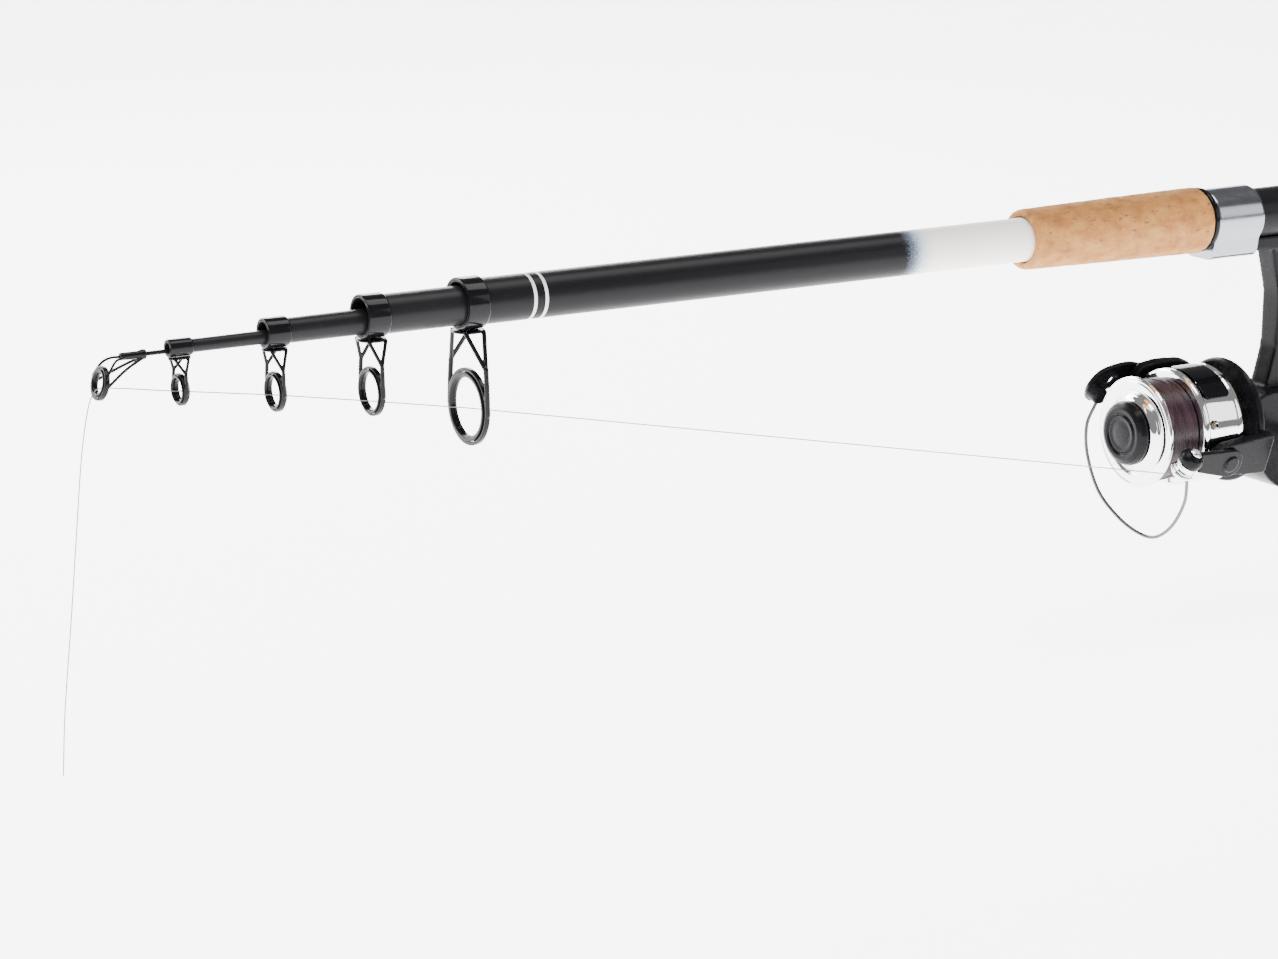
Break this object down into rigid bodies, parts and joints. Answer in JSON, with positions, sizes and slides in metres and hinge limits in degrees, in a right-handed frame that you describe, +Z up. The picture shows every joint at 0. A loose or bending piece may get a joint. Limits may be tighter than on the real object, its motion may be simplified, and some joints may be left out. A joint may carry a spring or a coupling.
{
  "type": "fishing rod and reel",
  "caption": "Collapsed telescopic spinning rod with line guides, cork grips and a pipe seat that carries a front-drag spinning reel with its line threaded.",
  "frame": {"origin": "on the rod's axis where the hand holds the reel seat, over the reel's stem", "axes": "+X along the rod to the butt, -X to the tip, +Z up, the reel hangs towards -Z, and its handle is on the -Y side"},
  "size_m": [0.825, 0.0988, 0.1617],
  "materials": {
    "blank_black": "satin lacquer on a composite tube",
    "blank_dark": "satin lacquer",
    "gloss_black": "gloss black",
    "ring_insert": "polished dark ceramic",
    "cork": "pressed cork",
    "seat_black": "satin",
    "gunmetal": "dark polished",
    "rubber_black": "matt",
    "chrome": "polished",
    "satin_steel": "satin",
    "reel_black": "semi-gloss black",
    "brass_gear": "cut",
    "zinc_gear": "die-cast",
    "spool_line_violet": "close-wound nylon line",
    "line_grey": "nylon line",
    "felt_white": "felt"
  },
  "bodies": {
    "rod": {"butt_section": "blank_black", "guide_collar_4": "gloss_black", "guide_frame_4": "gloss_black", "guide_ring_4": "ring_insert", "grip_trim_ring": "gloss_black", "front_grip": "cork", "rear_grip": "cork", "reel_seat": "seat_black", "seat_fixed_hood": "gunmetal", "reel_body": "reel_black", "body_cover": "reel_black", "pinion_bearing": "satin_steel", "drive_bearing_left": "satin_steel", "drive_bearing_right": "satin_steel", "handle_screw_cap": "satin_steel", "line_1": "line_grey"},
    "section_2": {"section_2": "blank_dark", "guide_collar_3": "gloss_black", "guide_frame_3": "gloss_black", "guide_ring_3": "ring_insert", "line_2": "line_grey"},
    "section_3": {"section_3": "blank_dark", "guide_collar_2": "gloss_black", "guide_frame_2": "gloss_black", "guide_ring_2": "ring_insert", "line_3": "line_grey"},
    "section_4": {"section_4": "blank_dark", "guide_collar_1": "gloss_black", "guide_frame_1": "gloss_black", "guide_ring_1": "ring_insert", "line_4": "line_grey"},
    "tip_section": {"tip_section": "blank_dark", "tip_guide_frame": "gloss_black", "tip_ring": "ring_insert", "line_5": "line_grey"},
    "butt_cap": {"butt_cap": "rubber_black"},
    "moving_hood": {"seat_moving_hood": "gunmetal"},
    "lock_nut": {"seat_lock_nut": "gunmetal"},
    "handle": {"drive_gear": "zinc_gear", "handle_arm": "satin_steel", "knob_spindle": "satin_steel"},
    "handle_knob": {"handle_knob": "rubber_black"},
    "rotor": {"rotor": "reel_black", "rotor_nut": "satin_steel", "pinion_gear": "brass_gear", "bail_spring": "satin_steel", "rotor_arm_cover": "reel_black"},
    "bail": {"bail_arm": "reel_black", "bail_lever": "reel_black", "bail_wire": "chrome", "roller_screw": "chrome"},
    "line_roller": {"line_roller": "chrome"},
    "crosswind_gear": {"crosswind_gear": "zinc_gear"},
    "shaft": {"main_shaft": "satin_steel", "crosswind_slider": "satin_steel"},
    "spool": {"spool": "chrome", "spool_line": "spool_line_violet", "drag_washer": "felt_white"},
    "drag_knob": {"drag_knob": "reel_black"},
    "anti_reverse_lever": {"anti_reverse_lever": "reel_black"}
  },
  "joints": [
    {"name": "section_2_slide", "type": "slide", "parent": "rod", "child": "section_2", "axis": [-1, 0, 0.0013], "range_m": [0, 0.4728]},
    {"name": "section_3_slide", "type": "slide", "parent": "section_2", "child": "section_3", "axis": [-1, 0, 0.0011], "range_m": [0, 0.4728]},
    {"name": "section_4_slide", "type": "slide", "parent": "section_3", "child": "section_4", "axis": [-1, 0, 0.0001], "range_m": [0, 0.4728]},
    {"name": "tip_section_slide", "type": "slide", "parent": "section_4", "child": "tip_section", "axis": [-1, 0, -0.0009], "range_m": [0, 0.4728]},
    {"name": "cap_turn", "type": "hinge", "parent": "rod", "child": "butt_cap", "pos_m": [0.284, 0, 0], "axis": [1, 0, 0], "range_deg": [0, 1080]},
    {"name": "hood_slide", "type": "slide", "parent": "rod", "child": "moving_hood", "axis": [1, 0, 0], "range_m": [0, 0.006]},
    {"name": "nut_turn", "type": "hinge", "parent": "moving_hood", "child": "lock_nut", "pos_m": [0.05, 0, 0], "axis": [1, 0, 0], "range_deg": [0, 1440]},
    {"name": "handle_spin", "type": "hinge", "parent": "rod", "child": "handle", "pos_m": [0.002, 0, -0.0934], "axis": [0, 1, 0], "continuous": true},
    {"name": "knob_spin", "type": "hinge", "parent": "handle", "child": "handle_knob", "pos_m": [0.02638, 0, -0.13241], "axis": [0, 1, 0], "continuous": true},
    {"name": "rotor_spin", "type": "hinge", "parent": "rod", "child": "rotor", "pos_m": [0, 0, -0.084], "axis": [1, 0, 0], "continuous": true},
    {"name": "crosswind_spin", "type": "hinge", "parent": "rod", "child": "crosswind_gear", "pos_m": [0.0142, 0, -0.09655], "axis": [0, 1, 0], "continuous": true},
    {"name": "spool_stroke", "type": "slide", "parent": "rod", "child": "shaft", "axis": [1, 0, 0], "range_m": [-0.006, 0.005]},
    {"name": "drag_slip", "type": "hinge", "parent": "shaft", "child": "spool", "pos_m": [0, 0, -0.084], "axis": [1, 0, 0], "continuous": true},
    {"name": "drag_knob_turn", "type": "hinge", "parent": "shaft", "child": "drag_knob", "pos_m": [-0.08, 0, -0.084], "axis": [1, 0, 0], "range_deg": [0, 1080]},
    {"name": "bail_swing", "type": "hinge", "parent": "rotor", "child": "bail", "pos_m": [-0.05, 0, -0.084], "axis": [0, 0.9505, 0.3107], "range_deg": [0, 120]},
    {"name": "roller_spin", "type": "hinge", "parent": "bail", "child": "line_roller", "pos_m": [-0.071, -0.02756, -0.09301], "axis": [0.2005, -0.5756, 0.7928], "continuous": true},
    {"name": "anti_reverse_swing", "type": "hinge", "parent": "rod", "child": "anti_reverse_lever", "pos_m": [0.015, 0, -0.1134], "axis": [0, 1, 0], "range_deg": [0, 30]}
  ],
  "couplings": [
    {"joint": "rotor_spin", "follows": "handle_spin", "ratio": 5.1111},
    {"joint": "crosswind_spin", "follows": "handle_spin", "ratio": -0.5},
    {"joint": "hood_slide", "follows": "nut_turn", "m_per_rad": 0.000238}
  ]
}
